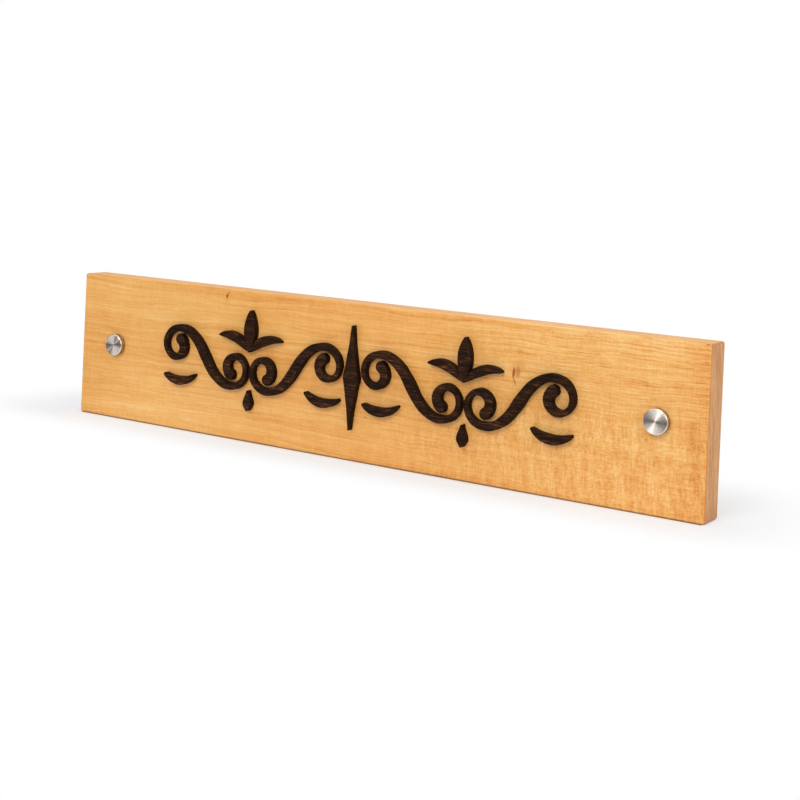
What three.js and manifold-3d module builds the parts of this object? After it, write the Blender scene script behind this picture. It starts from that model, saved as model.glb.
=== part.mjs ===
// A name plate for a wall or a door: one thick hardwood board, a scroll ornament of separately sawn dark
// wood pieces glued to its face, and two screw fixings, each hidden under a turned steel cap.
// Millimetres. +X runs along the board, -Y faces the reader and +Z is up. The origin is the middle of the
// board's bottom edge, so the plate stands on the plane Z = 0.

import * as THREE from 'three';
import { mergeVertices } from 'three/addons/utils/BufferGeometryUtils.js';
import Module from 'manifold-3d';

const wasm = await Module();
wasm.setup();

// The board
const boardLength = 475;
const boardHeight = 100;
const boardThickness = 19;
const arrisRadius = 0.7;
const cornerRadius = 1.6;

// Where the two screw holes are drilled, by hand, so the two ends differ a little
const leftHoleInset = 33.3;
const rightHoleInset = 30;
const leftHoleRise = 2;
const rightHoleRise = 3.6;

// The wood screw
const screwLength = 40;
const screwRadius = 2;
const screwCoreRadius = 1.35;
const screwHeadRadius = 4;
const screwHeadLand = 0.3;
const threadLength = 24;
const threadPitch = 1.8;
const pointLength = 4.5;
const driveReach = 2.1;
const driveWidth = 0.9;
const driveDepth = 1.4;

// The steel cap
const capRadius = 7.5;
const capWall = 1;
const capFaceThickness = 1;
const capChamfer = 0.6;

// The threaded collar under the cap, and the washer under the collar
const collarFloor = 0.4;
const collarChamfer = 0.3;
const gasketThickness = 0.5;
const gasketInset = 0.2;

// Clearances
const holeClearance = 0.3;
const headClearance = 0.3;
const headRecess = 0.2;
const threadClearance = 0.3;
const rimGap = 0.3;

// The ornament: sawn strokes, thick in the middle and at the ends and thin before each curl
const reliefDepth = 4.5;
const reliefArris = 0.5;
const ornamentRise = 3;
const strokeMiddle = 7.2;
const strokeShoulder = 5.2;
const strokeNeck = 3.4;
const strokeEnd = 7.4;
const shoulderAt = 0.35;
const neckAt = 0.68;
const scrollArm = 80;
const scrollTurn = 385;
const scrollLean = 57;
const scrollSharpness = 0.92;
const pieceGap = 1.7;
const lozengeWidth = 12;
const lozengeHeight = 67;
const lozengeTip = 0.8;
const lozengeHollow = 1.35;
const palmetteHeight = 28;
const palmetteWidth = 9.6;
const palmettePull = 1.05;
const palmetteSideLength = 27.5;
const palmetteSideWidth = 6.4;
const palmetteSidePull = 0.9;
const palmetteSideLean = 42;
const palmetteSideBend = 60;
const palmetteSpread = 1.2;
const dropLength = 14;
const dropWidth = 6.8;
const dropBottom = 1.6;
const dropPull = 1.8;
const leafLength = 29;
const leafWidth = 6;
const leafPull = 0.95;
const leafDip = 32;
const leafBend = 72;
const leafFall = 15;
const leafInset = 1.5;
const leafFoot = 1.2;
const leafTip = 0.9;
const leafFullness = 0.8;

// How finely round shapes are faceted. A step crowding under 1 puts more steps where a scroll bends most.
const roundSides = 32;
const screwSides = 12;
const ringsPerTurn = 3;
const armSteps = 18;
const stepCrowding = 0.7;
const strokeEndSteps = 5;
const leafSteps = 10;
const lozengeSteps = 6;
const cornerSteps = 3;
const arrisSteps = 3;

// Places worked out from the sizes above
const faceY = -boardThickness / 2;
const ornamentZ = boardHeight / 2 + ornamentRise;
const screwHeadHeight = screwHeadLand + screwHeadRadius - screwRadius;
const collarHeight = headRecess + screwHeadHeight + collarFloor;
const capBore = capRadius - capWall;
const collarRadius = capBore - threadClearance;
const shankHole = screwRadius + holeClearance;
const collarFrontY = faceY - gasketThickness - collarHeight;

const honeyWood = { color: 0xe6ad68, roughness: 0.55, metalness: 0 };
const darkWood = { color: 0x2e211b, roughness: 0.62, metalness: 0 };
const spunSteel = { color: 0xc6c6c4, roughness: 0.3, metalness: 1 };
const turnedBrass = { color: 0xc9a455, roughness: 0.35, metalness: 1 };
const platedSteel = { color: 0xb4b6b5, roughness: 0.38, metalness: 1 };
const blackRubber = { color: 0x242424, roughness: 0.9, metalness: 0 };

const degrees = THREE.MathUtils.degToRad;

// Turns a closed three.js geometry into a solid for cutting and joining.
function toSolid(geometry) {
  const bare = geometry.clone();
  bare.deleteAttribute('normal');
  bare.deleteAttribute('uv');
  const merged = mergeVertices(bare, 1e-4);
  const mesh = new wasm.Mesh({
    numProp: 3,
    vertProperties: new Float32Array(merged.attributes.position.array),
    triVerts: new Uint32Array(merged.index.array),
  });
  return new wasm.Manifold(mesh);
}

function toGeometry(solid) {
  const mesh = solid.getMesh();
  const geometry = new THREE.BufferGeometry();
  geometry.setAttribute('position', new THREE.BufferAttribute(mesh.vertProperties, 3));
  geometry.setIndex(new THREE.BufferAttribute(mesh.triVerts, 1));
  geometry.computeVertexNormals();
  return geometry;
}

function piece(name, geometry, finish) {
  const mesh = new THREE.Mesh(geometry, new THREE.MeshStandardMaterial(finish));
  mesh.name = name;
  return mesh;
}

// A flat outline in X and Z, made into a slab from Y = back to Y = back - depth.
function slab(outline, depth, back, bevel, bevelSteps) {
  const geometry = new THREE.ExtrudeGeometry(new THREE.Shape(outline), {
    depth: depth - 2 * bevel,
    bevelThickness: bevel,
    bevelSize: bevel,
    bevelOffset: -bevel,
    bevelSegments: bevelSteps,
  });
  geometry.rotateX(Math.PI / 2);
  geometry.translate(0, back - bevel, 0);
  return geometry;
}

function makeBoard(holes) {
  const reach = boardLength / 2;
  const outline = new THREE.Shape();
  const corners = [
    [-reach + cornerRadius, cornerRadius, -180, -90],
    [reach - cornerRadius, cornerRadius, -90, 0],
    [reach - cornerRadius, boardHeight - cornerRadius, 0, 90],
    [-reach + cornerRadius, boardHeight - cornerRadius, 90, 180],
  ];
  for (const [x, z, from, to] of corners) {
    outline.absarc(x, z, cornerRadius, degrees(from), degrees(to), false);
  }
  const plan = outline.getPoints(cornerSteps);
  const body = slab(plan, boardThickness, boardThickness / 2, arrisRadius, arrisSteps);
  let solid = toSolid(body);
  for (const hole of holes) {
    const drill = new THREE.CylinderGeometry(shankHole, shankHole, 2 * boardThickness, roundSides);
    drill.translate(hole.x, 0, hole.z);
    solid = solid.subtract(toSolid(drill));
  }
  return piece('board', toGeometry(solid), honeyWood);
}

// The screw's outline from the head's face to its point, with rings close enough to carry a thread.
function screwProfile() {
  const threadStart = screwLength - threadLength;
  const coneStart = screwLength - pointLength;
  const rings = Math.round((threadLength / threadPitch) * ringsPerTurn);
  const points = [
    [0, 0],
    [screwHeadRadius, 0],
    [screwHeadRadius, screwHeadLand],
    [screwRadius, screwHeadHeight],
  ];
  for (let i = 0; i <= rings; i += 1) {
    const y = threadStart + (i / rings) * threadLength;
    const taper = Math.min(1, (screwLength - y) / (screwLength - coneStart));
    points.push([screwRadius * taper, y]);
  }
  return points.map(([r, y]) => new THREE.Vector2(r, y));
}

// Presses a helical groove into the threaded part of a screw that lies along Y.
function rollThread(geometry) {
  const place = geometry.attributes.position;
  const threadStart = screwLength - threadLength;
  for (let i = 0; i < place.count; i += 1) {
    const x = place.getX(i);
    const y = place.getY(i);
    const z = place.getZ(i);
    if (y > threadStart && y < screwLength) {
      const turn = Math.atan2(z, x) / (2 * Math.PI);
      const phase = THREE.MathUtils.euclideanModulo(y / threadPitch + turn, 1);
      const groove = 1 - Math.abs(2 * phase - 1);
      const shrink = 1 - groove * (1 - screwCoreRadius / screwRadius);
      place.setXYZ(i, x * shrink, y, z * shrink);
    }
  }
}

function makeScrew(name) {
  const blank = new THREE.LatheGeometry(screwProfile(), screwSides);
  rollThread(blank);
  let solid = toSolid(blank);
  for (const turn of [0, Math.PI / 2]) {
    const slot = new THREE.BoxGeometry(2 * driveReach, 2 * driveDepth, driveWidth);
    slot.rotateY(turn);
    solid = solid.subtract(toSolid(slot));
  }
  const screw = piece(name, toGeometry(solid), platedSteel);
  screw.position.y = collarFrontY + headRecess;
  return screw;
}

function turned(name, profile, finish) {
  const points = profile.map(([r, y]) => new THREE.Vector2(r, y));
  points.push(points[0].clone());
  return piece(name, new THREE.LatheGeometry(points, roundSides), finish);
}

// The collar has a countersink for the screw's head, and carries the cap's thread outside.
function makeCollar(name) {
  const front = collarFrontY;
  const back = front + collarHeight;
  const mouth = screwHeadRadius + headClearance;
  const landEnd = front + headRecess + screwHeadLand;
  const coneEnd = front + headRecess + screwHeadHeight;
  return turned(name, [
    [mouth, front],
    [collarRadius - collarChamfer, front],
    [collarRadius, front + collarChamfer],
    [collarRadius, back - collarChamfer],
    [collarRadius - collarChamfer, back],
    [shankHole, back],
    [shankHole, coneEnd],
    [mouth, landEnd],
  ], turnedBrass);
}

function makeGasket(name) {
  const outer = collarRadius - gasketInset;
  return turned(name, [
    [shankHole, faceY - gasketThickness],
    [outer, faceY - gasketThickness],
    [outer, faceY],
    [shankHole, faceY],
  ], blackRubber);
}

// The cap is a cup that bottoms on the collar and keeps its rim just off the wood.
function makeCap(name) {
  const floor = collarFrontY;
  const front = floor - capFaceThickness;
  const rim = faceY - rimGap;
  const profile = [
    [0, front],
    [capRadius - capChamfer, front],
    [capRadius, front + capChamfer],
    [capRadius, rim],
    [capBore, rim],
    [capBore, floor],
    [0, floor],
  ];
  const points = profile.map(([r, y]) => new THREE.Vector2(r, y));
  return piece(name, new THREE.LatheGeometry(points, roundSides), spunSteel);
}

function makeFixing(side, hole) {
  const fixing = new THREE.Group();
  fixing.add(makeGasket(`${side}_gasket`));
  fixing.add(makeCollar(`${side}_collar`));
  fixing.add(makeScrew(`${side}_screw`));
  fixing.add(makeCap(`${side}_cap`));
  fixing.position.set(hole.x, 0, hole.z);
  return fixing;
}

// A line whose bend grows steadily along it, as a scroll's does. Its points carry the way they head.
function windingLine(x, z, heading, length, turn, sharpness, steps) {
  const points = [{ x, z, heading, along: 0 }];
  const share = (step) => (step / steps) ** stepCrowding;
  for (let i = 1; i <= steps; i += 1) {
    const before = share(i - 1);
    const after = share(i);
    const middle = heading + turn * ((before + after) / 2) ** (1 + sharpness);
    const last = points[i - 1];
    points.push({
      x: last.x + Math.cos(middle) * length * (after - before),
      z: last.z + Math.sin(middle) * length * (after - before),
      heading: heading + turn * after ** (1 + sharpness),
      along: after,
    });
  }
  return points;
}

// Two arms that run both ways from a middle point.
function twoArms(x, z, heading, length, turn, sharpness, steps) {
  const onward = windingLine(x, z, heading, length, turn, sharpness, steps);
  const back = windingLine(x, z, heading + Math.PI, length, turn, sharpness, steps);
  const reversed = back.slice(1).reverse();
  for (const point of reversed) {
    point.heading -= Math.PI;
  }
  return [...reversed, ...onward];
}

// How high the curl at the end of a scroll's lower arm reaches, above the scroll's middle.
function lowerCurlTop() {
  const turn = degrees(scrollTurn);
  const arm = windingLine(0, 0, degrees(-scrollLean), scrollArm, turn, scrollSharpness, armSteps);
  const lowest = arm.reduce((low, point) => (point.z < low.z ? point : low));
  const curl = arm.filter((point) => point.along > lowest.along);
  return Math.max(...curl.map((point) => point.z + strokeWidth(point.along) / 2));
}

// A stroke's width, from the middle of an arm to its end.
function strokeWidth(along) {
  const stops = [
    [0, strokeMiddle],
    [shoulderAt, strokeShoulder],
    [neckAt, strokeNeck],
    [1, strokeEnd],
  ];
  for (let i = 1; i < stops.length; i += 1) {
    const [from, wide] = stops[i - 1];
    const [to, next] = stops[i];
    if (along <= to) {
      return THREE.MathUtils.lerp(wide, next, (along - from) / (to - from));
    }
  }
  return strokeEnd;
}

function offsetPoint(point, distance) {
  const normal = point.heading + Math.PI / 2;
  return new THREE.Vector2(point.x + distance * Math.cos(normal), point.z + distance * Math.sin(normal));
}

// The round end of a stroke: points on a half circle that bulges the way the stroke heads.
function roundEnd(point, heading, radius) {
  const points = [];
  for (let i = 1; i < strokeEndSteps; i += 1) {
    const angle = heading + Math.PI / 2 - (Math.PI * i) / strokeEndSteps;
    points.push(new THREE.Vector2(point.x + radius * Math.cos(angle), point.z + radius * Math.sin(angle)));
  }
  return points;
}

// A stroke along a line, round at both ends. halfWidth gives its half width at each point's share.
function strokeOutline(line, halfWidth) {
  const first = line[0];
  const last = line[line.length - 1];
  const left = line.map((point) => offsetPoint(point, halfWidth(point.along)));
  const right = line.map((point) => offsetPoint(point, -halfWidth(point.along)));
  return [
    ...left,
    ...roundEnd(last, last.heading, halfWidth(last.along)),
    ...right.reverse(),
    ...roundEnd(first, first.heading + Math.PI, halfWidth(first.along)),
  ];
}

// An S: both arms wind up the same way round.
function scrollOutline(x, z) {
  const turn = degrees(scrollTurn);
  const line = twoArms(x, z, degrees(-scrollLean), scrollArm, turn, scrollSharpness, armSteps);
  return strokeOutline(line, (along) => strokeWidth(along) / 2);
}

// A leaf that starts at a point, bent along an arc. A pull above 1 moves its widest place to the tip.
function leafOutline(x, z, heading, bend, leaf) {
  const start = degrees(heading);
  const footX = x + leaf.foot * Math.cos(start);
  const footZ = z + leaf.foot * Math.sin(start);
  const length = leaf.length - leaf.foot - leaf.tip;
  const line = windingLine(footX, footZ, start, length, degrees(bend), 0, leafSteps);
  return strokeOutline(line, (along) => {
    const end = THREE.MathUtils.lerp(leaf.foot, leaf.tip, along);
    const swell = Math.max(0, Math.sin(Math.PI * along ** leaf.pull)) ** leafFullness;
    return end + (leaf.width / 2 - end) * swell;
  });
}

// A tall lozenge whose four sides curve inwards.
function lozengeOutline(z) {
  const arm = lozengeHeight / 2 - lozengeTip;
  const line = twoArms(0, z, Math.PI / 2, arm, 0, 0, lozengeSteps);
  const swell = lozengeWidth / 2 - lozengeTip;
  return strokeOutline(line, (along) => lozengeTip + swell * (1 - along) ** lozengeHollow);
}

// A sawn piece: its outlines joined into one, with a softened front arris and a flat glued back.
function sawnPiece(name, outlines, mirrored) {
  const backTrim = new THREE.BoxGeometry(boardLength, 4 * reliefArris, 2 * boardHeight);
  backTrim.translate(0, faceY + 2 * reliefArris, boardHeight / 2);
  let solid = null;
  for (const outline of outlines) {
    const placed = outline.map((point) => new THREE.Vector2(mirrored ? -point.x : point.x, point.y));
    const blank = slab(placed, reliefDepth + reliefArris, faceY + reliefArris, reliefArris, 1);
    const sawn = toSolid(blank).subtract(toSolid(backTrim));
    solid = solid ? solid.add(sawn) : sawn;
  }
  return piece(name, toGeometry(solid), darkWood);
}

// The outlines of one half of the ornament, laid out from the middle so that neighbours keep pieceGap.
function ornamentOutlines() {
  const scroll = scrollOutline(0, 0);
  const scrollReach = Math.max(...scroll.map((point) => point.x));
  const scrollDrop = Math.max(...scroll.map((point) => -point.y));
  const innerX = lozengeWidth / 2 + pieceGap + scrollReach;
  const meetingX = innerX + scrollReach + pieceGap / 2;
  const mirror = (outline) => outline.map((point) => new THREE.Vector2(2 * meetingX - point.x, point.y));

  const innerScroll = scrollOutline(innerX, ornamentZ);
  const ends = { foot: leafFoot, tip: leafTip };
  const leaf = { length: leafLength, width: leafWidth, pull: leafPull, ...ends };
  const leafX = innerX - scrollReach + leafInset;
  const innerLeaf = leafOutline(leafX, ornamentZ - leafFall, -leafDip, leafBend, leaf);

  const middle = { length: palmetteHeight, width: palmetteWidth, pull: palmettePull, ...ends };
  const side = { length: palmetteSideLength, width: palmetteSideWidth, pull: palmetteSidePull, ...ends };
  const footZ = ornamentZ + lowerCurlTop() + pieceGap;
  const midLeaf = leafOutline(meetingX, footZ, 90, 0, middle);
  const sideX = meetingX - palmetteSpread;
  const sideLeaf = leafOutline(sideX, footZ + palmetteSpread, 90 + palmetteSideLean, palmetteSideBend, side);

  const drop = { length: dropLength, width: dropWidth, pull: dropPull, foot: leafTip, tip: dropBottom };
  const dropZ = ornamentZ - scrollDrop + pieceGap;
  return {
    inner_scroll: [innerScroll],
    outer_scroll: [mirror(innerScroll)],
    inner_leaf: [innerLeaf],
    outer_leaf: [mirror(innerLeaf)],
    palmette: [midLeaf, sideLeaf, mirror(sideLeaf)],
    drop: [leafOutline(meetingX, dropZ, -90, 0, drop)],
  };
}

function makeOrnament() {
  const ornament = new THREE.Group();
  ornament.add(sawnPiece('centre_lozenge', [lozengeOutline(ornamentZ)], false));
  for (const [name, outlines] of Object.entries(ornamentOutlines())) {
    ornament.add(sawnPiece(`left_${name}`, outlines, true));
    ornament.add(sawnPiece(`right_${name}`, outlines, false));
  }
  return ornament;
}

const leftHole = { x: -boardLength / 2 + leftHoleInset, z: boardHeight / 2 + leftHoleRise };
const rightHole = { x: boardLength / 2 - rightHoleInset, z: boardHeight / 2 + rightHoleRise };

const group = new THREE.Group();
group.add(makeBoard([leftHole, rightHole]));
group.add(makeOrnament());
group.add(makeFixing('left', leftHole));
group.add(makeFixing('right', rightHole));

export default group;
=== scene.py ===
# %% [markdown]
# # A wooden name plate
# The real object is one thick honey-coloured board with a raised ornament of separately sawn dark wood,
# and two screws hidden under turned steel caps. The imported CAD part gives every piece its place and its
# motion. This script builds a finer piece in each of those places and gives it a finish.

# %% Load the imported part
import math

import bpy
import numpy as np
from mathutils import Matrix, Vector
from mathutils.geometry import delaunay_2d_cdt


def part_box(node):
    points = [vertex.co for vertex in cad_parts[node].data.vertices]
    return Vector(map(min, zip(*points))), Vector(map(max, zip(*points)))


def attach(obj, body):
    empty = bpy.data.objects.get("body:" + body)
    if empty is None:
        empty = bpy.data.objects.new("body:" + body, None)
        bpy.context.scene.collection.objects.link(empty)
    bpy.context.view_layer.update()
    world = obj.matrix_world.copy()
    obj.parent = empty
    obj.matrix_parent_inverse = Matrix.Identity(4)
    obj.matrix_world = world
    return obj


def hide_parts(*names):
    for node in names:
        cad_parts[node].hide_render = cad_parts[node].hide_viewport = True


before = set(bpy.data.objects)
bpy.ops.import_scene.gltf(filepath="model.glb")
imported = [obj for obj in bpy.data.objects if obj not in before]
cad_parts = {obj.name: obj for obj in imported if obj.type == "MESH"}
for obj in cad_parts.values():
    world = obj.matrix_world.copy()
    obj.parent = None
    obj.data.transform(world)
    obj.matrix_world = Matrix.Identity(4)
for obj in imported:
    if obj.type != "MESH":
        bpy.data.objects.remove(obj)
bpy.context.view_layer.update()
MM = 0.001


# %% Sizes of the board, in millimetres
LENGTH = 475.0
HEIGHT = 100.0
THICKNESS = 19.0
FACE_Y = -THICKNESS / 2

# %% [markdown]
# ## The camera
# The photograph was taken from the plate's right and a little above it, with a short telephoto lens.
# Its place was solved from the plate's corners and edges. The frame is shifted down, as a studio camera's
# is when it looks level at an object that stands on a table, so that upright edges stay nearly upright.

# %% Put the camera where the photographer stood
camera = bpy.data.objects.new("camera", bpy.data.cameras.new("camera"))
bpy.context.scene.collection.objects.link(camera)
camera.location = (0.53292, -0.79092, 0.20029)
camera.rotation_euler = [math.radians(turn) for turn in (89.5295, -2.5064, 32.899)]
camera.data.sensor_width = 36
camera.data.lens = 66.963
camera.data.shift_y = -0.3
camera.data.clip_start = 0.05
camera.data.clip_end = 50
bpy.context.scene.camera = camera
bpy.context.scene.view_settings.view_transform = "Standard"
print("camera is", round(camera.location.length, 2), "m from the foot of the plate")

# %% [markdown]
# ## Shader maths
# Wood is many small effects added up, so its material is a long sum. `Wire` wraps one socket of a
# material, and arithmetic on wires adds the Math nodes that do it. Every other node comes from
# `Finish.add`, which sets a node's settings first and then its sockets.

# %% A wire that can be added and multiplied
class Wire:
    """One output socket. Arithmetic on it adds Math nodes, or Vector Math nodes where it is a vector."""

    def __init__(self, finish, socket):
        self.finish = finish
        self.socket = socket

    def combine(self, operation, *terms):
        kind = "ShaderNodeMath"
        if any(isinstance(term, Wire) and term.socket.type == "VECTOR" for term in terms):
            kind = "ShaderNodeVectorMath"
            terms = [(term,) * 3 if isinstance(term, (int, float)) else term for term in terms]
        return self.finish.add(kind, {"operation": operation}, dict(enumerate(terms)))

    def __add__(self, other):
        return self.combine("ADD", self, other)

    def __sub__(self, other):
        return self.combine("SUBTRACT", self, other)

    def __rsub__(self, other):
        return self.combine("SUBTRACT", other, self)

    def __mul__(self, other):
        return self.combine("MULTIPLY", self, other)

    def __truediv__(self, other):
        return self.combine("DIVIDE", self, other)

    def __pow__(self, other):
        return self.combine("POWER", self, other)

    def __abs__(self):
        return self.combine("ABSOLUTE", self)

    __radd__ = __add__
    __rmul__ = __mul__


def colour(red, green, blue):
    """A colour read off a screen, 0 to 255, as the light it stands for."""
    shares = [value / 255 for value in (red, green, blue)]
    return (*[((share + 0.055) / 1.055) ** 2.4 if share > 0.04 else share / 12.92 for share in shares], 1)


# %% A material's nodes, and the few kinds that the finishes share
class Finish:
    """A material or a world, with one method that adds any node."""

    def __init__(self, holder):
        holder.use_nodes = True
        self.tree = holder.node_tree
        self.tree.nodes.clear()

    def add(self, kind, settings=None, sockets=None, out=0):
        node = self.tree.nodes.new(kind)
        for name, value in (settings or {}).items():
            setattr(node, name, value)
        for name, value in (sockets or {}).items():
            if isinstance(value, Wire):
                self.tree.links.new(value.socket, node.inputs[name])
            else:
                node.inputs[name].default_value = value
        return Wire(self, node.outputs[out]) if len(node.outputs) else node

    def millimetres(self):
        """Where a point is on its piece, in millimetres."""
        return self.add("ShaderNodeTexCoord", out="Object") * (1 / MM)

    def facing(self):
        """Which way the surface faces: its share along the piece's own X, Y and Z."""
        return self.split(self.add("ShaderNodeTexCoord", out="Normal"))

    def noise(self, place, size, detail=2.0, roughness=0.5):
        """Soft marks, about half a unit either side of 0. Size is how long they are, or a size each way."""
        sizes = size if isinstance(size, tuple) else (size,) * 3
        sockets = {"Vector": place * tuple(1 / length for length in sizes), "Scale": 1.0,
                   "Detail": detail, "Roughness": roughness}
        return self.add("ShaderNodeTexNoise", {}, sockets) - 0.5

    def ease(self, value, low, high):
        sockets = {"Value": value, "From Min": low, "From Max": high}
        return self.add("ShaderNodeMapRange", {"interpolation_type": "SMOOTHSTEP"}, sockets)

    def tint(self, share, first, second, blend_type="MIX"):
        settings = {"data_type": "RGBA", "blend_type": blend_type}
        return self.add("ShaderNodeMix", settings, {0: share, 6: first, 7: second}, out=2)

    def ramp(self, value, stops):
        """A run of colours. Stops are places along it, each with its colour as read off a screen."""
        run = self.add("ShaderNodeValToRGB", {}, {"Fac": value})
        elements = run.socket.node.color_ramp.elements
        while len(elements) < len(stops):
            elements.new(1.0)
        for element, (place, shade) in zip(elements, stops.items()):
            element.position = place
            element.color = colour(*shade)
        return run

    def split(self, place):
        node = self.add("ShaderNodeSeparateXYZ", {}, {0: place}).socket.node
        return [Wire(self, socket) for socket in node.outputs]

    def join(self, x, y, z):
        return self.add("ShaderNodeCombineXYZ", {}, {0: x, 1: y, 2: z})

    def bump(self, height, strength, distance):
        sockets = {"Strength": strength, "Distance": distance, "Height": height}
        return self.add("ShaderNodeBump", {}, sockets)

    def surface(self, **sockets):
        named = {name.replace("_", " "): value for name, value in sockets.items()}
        shader = self.add("ShaderNodeBsdfPrincipled", {}, named)
        self.add("ShaderNodeOutputMaterial", {}, {"Surface": shader})


def new_finish(name):
    """A new material, and a Finish that builds its nodes."""
    material = bpy.data.materials.new(name)
    return material, Finish(material)


print("mid honey wood as light:", [round(c, 3) for c in colour(240, 177, 103)])

# %% [markdown]
# ## The honey-coloured wood
# A close-grained hardwood, flat-sawn, sanded and sealed with a satin coat. Its growth lines run along the
# board, wander a little, and come out as thin darker lines, strongest in the upper right. Fine fibre
# streaks lie over them. Towards the lower right the fibres wave in and out of the face, which shows as
# soft upright bands crossed by fine threads. All of it is worked out from the piece's own coordinates in
# millimetres, so it stays with the wood from every side.

# %% Finish: honey-coloured board, and where its figure changes
honey_board, wood = new_finish("honey_board")
place = wood.millimetres()
x, y, z = wood.split(place)
facing_end, _, facing_up = wood.facing()
towards_end = abs(facing_end)
ends = wood.ease(towards_end, 0.5, 0.9)
top = wood.ease(facing_up, 0.5, 0.95)
to_right = wood.ease(x, -20, 190)
curl_area = to_right * (1 - wood.ease(z, 40, 66))
wavy_area = wood.ease(x, 20, 150) * wood.ease(z, 38, 72)
to_middle = wood.ease(x, -150, -40) * (1 - wood.ease(x, 60, 150))
left_end = 1 - wood.ease(x, -LENGTH / 2, -190)
right_end = wood.ease(x, 212, LENGTH / 2)
low_left = (1 - wood.ease(x, -160, -60)) * (1 - wood.ease(z, 15, 50))

# %% Growth lines
drift = wood.noise(place, (95, 30, 34))
ripple = wood.noise(place, (26, 12, 9), 1)
wave = wood.noise(place, (8, 9, 5), 1)
level = z + drift * 11 + ripple * 2
broad = wood.noise(wood.join(x, y, level), (420, 14, 9))
medium = wood.noise(wood.join(x, y, level), (230, 6, 2.6), 3, 0.6)
grain = wood.noise(wood.join(x, y, level + wave * 1.2), (70, 4, 0.9), 2, 0.55)
dark_lines = wood.ease(medium, 0.02, 0.16)
mottle = wood.noise(place, (17, 8, 8))
winding = wood.noise(wood.join(x, y, level + wave * 2.2), (48, 4, 2.3), 1)
thin_lines = (1 - wood.ease(abs(winding), 0, 0.022)) * wood.ease(mottle, -0.06, 0.1)

# %% Fibre and curl
fibre = wood.noise(place, (13, 0.8, 0.6), 2, 0.6)
speckle = wood.noise(place, (1.7, 1.5, 1), 2, 0.6)
curl = wood.noise(wood.join(x + z * 0.12, y, z), (5.5, 9, 28), 2, 0.55)
hairs = wood.noise(place, (1.3, 3, 7), 2, 0.6)
weft = wood.noise(place, (4.5, 4, 1.35), 2, 0.6)

# %% How dark the wood is
# Each line adds one effect: its strength everywhere, and more of it in its own part of the board.
lengthwise = 1 - curl_area * 0.62
tone = 0.4 + broad * 0.55
tone += medium * (0.42 - wavy_area * 0.15) * lengthwise
tone += grain * (0.85 + wavy_area * 0.5) * lengthwise
tone += fibre * (0.55 + wavy_area * 0.6)
tone += dark_lines * 0.07 * lengthwise
tone += mottle * 0.3
tone += thin_lines * (0.04 + wavy_area * 0.36)
tone += curl * (0.2 + curl_area * 1.15)
tone += hairs * (0.3 + to_right * 0.15 + curl_area * 0.6)
tone += weft * (0.1 + curl_area * 0.5)
tone += speckle * (0.3 + curl_area * 0.75 + wavy_area * 0.3)
tone += left_end * 0.1 + right_end * 0.23 + to_middle * 0.12
tone -= to_right * 0.04 + wavy_area * 0.03 + low_left * 0.06
HONEY_STOPS = {0.0: (250, 202, 129), 0.35: (242, 181, 98), 0.6: (235, 166, 82), 0.8: (227, 152, 70),
               1.0: (217, 139, 59)}
REDDER = (0.975, 0.94, 0.915, 1)
honey = wood.ramp(tone, HONEY_STOPS)
honey = wood.tint(to_right * 0.8, honey, REDDER, blend_type="MULTIPLY")

# %% [markdown]
# ## Knots, pores and end grain
# A pin knot or a scar is one or more soft oval flecks, whose edge the fibre noise frays. Each fleck is its
# middle across and up the board, how long it is each way, its lean and its strength, and all of them are
# in the front of the board. The two ends show end grain: the growth lines stand up there, and the wood
# drinks the coat, so it looks darker and duller. The sanded edges between face and end are darkest.
# Towards the floor the end grain is painted darker still, fading out 14 mm up: painted shade.

# %% Pin knots, a scar and pores in the board
FLECKS = {
    "top knot": (-106, 95.3, 1, 1.25, 0.2, 1),
    "above it": (-105.1, 97, 0.8, 1.9, 0.5, 0.4),
    "below it": (-106.2, 93.2, 0.9, 1.6, 0.3, 0.3),
    "scar": (114.8, 69.8, 0.9, 2.9, 0.1, 1),
    "tail of it": (115.5, 64.8, 0.6, 2.6, -0.41, 0.7),
    "stain beside it": (117.6, 70.4, 1.5, 3.6, 0.06, 0.45),
    "stain above it": (117, 73, 5, 5, 0.1, 0.2),
    "nick in the corner": (235, 99.4, 1.2, 0.4, 0, 0.9),
    "low left pin": (-84, 30.5, 0.7, 0.8, 0, 0.75),
    "pin under that": (-84.5, 25, 0.6, 0.7, 0, 0.5),
    "left pin": (-73, 56, 0.8, 0.7, 0, 0.6),
    "middle pin": (10, 29, 0.7, 0.7, 0, 0.6),
    "right pin": (201, 42, 0.7, 0.6, 0, 0.7),
}
flecks = 0
for across, up, wide, tall, lean, strength in FLECKS.values():
    beside = (x - across - (z - up) * lean) / wide
    above = (z - up) / tall
    frayed = beside * beside + above * above + fibre * 1.2
    flecks += (1 - wood.ease(frayed, 0.1, 1.8)) * strength
flecks *= 1 - wood.ease(y, -6, 0)
pores = wood.ease(wood.noise(place, (3.2, 0.3, 0.22), 1), 0.16, 0.24) * 0.35
stained = wood.tint(flecks * 0.92, honey, colour(172, 80, 0))
stained = wood.tint(pores, stained, colour(196, 120, 56))

# %% End grain, and the coat over all of it
END_STOPS = {0.15: (238, 178, 116), 0.5: (221, 160, 100), 0.85: (192, 126, 70)}
end_level = y + drift * 5 + ripple * 1.2 + z * 0.06
streaks = wood.noise(wood.join(x, end_level, z), (4, 0.8, 24), 3, 0.65)
dashes = wood.noise(place, (2, 0.5, 5), 2, 0.6)
end_grain = wood.ramp(0.5 + streaks * 1.9 + dashes * 1.2, END_STOPS)
# Painted shade: the end grain is painted darker towards the floor, fading out 14 mm up.
painted_foot_shade = 1 - wood.ease(z, 0, 14)
end_grain = wood.tint(painted_foot_shade * 0.45, end_grain, colour(172, 110, 60))
on_end_edge = wood.ease(towards_end, 0.1, 0.45) * (1 - wood.ease(towards_end, 0.8, 0.98))
board_colour = wood.tint(ends, stained, end_grain)
board_colour = wood.tint(on_end_edge * 0.75, board_colour, colour(200, 122, 50))
relief = fibre * 0.5 + medium * 0.5 + grain * 0.4 - pores * 0.9 - flecks * 0.2
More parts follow.
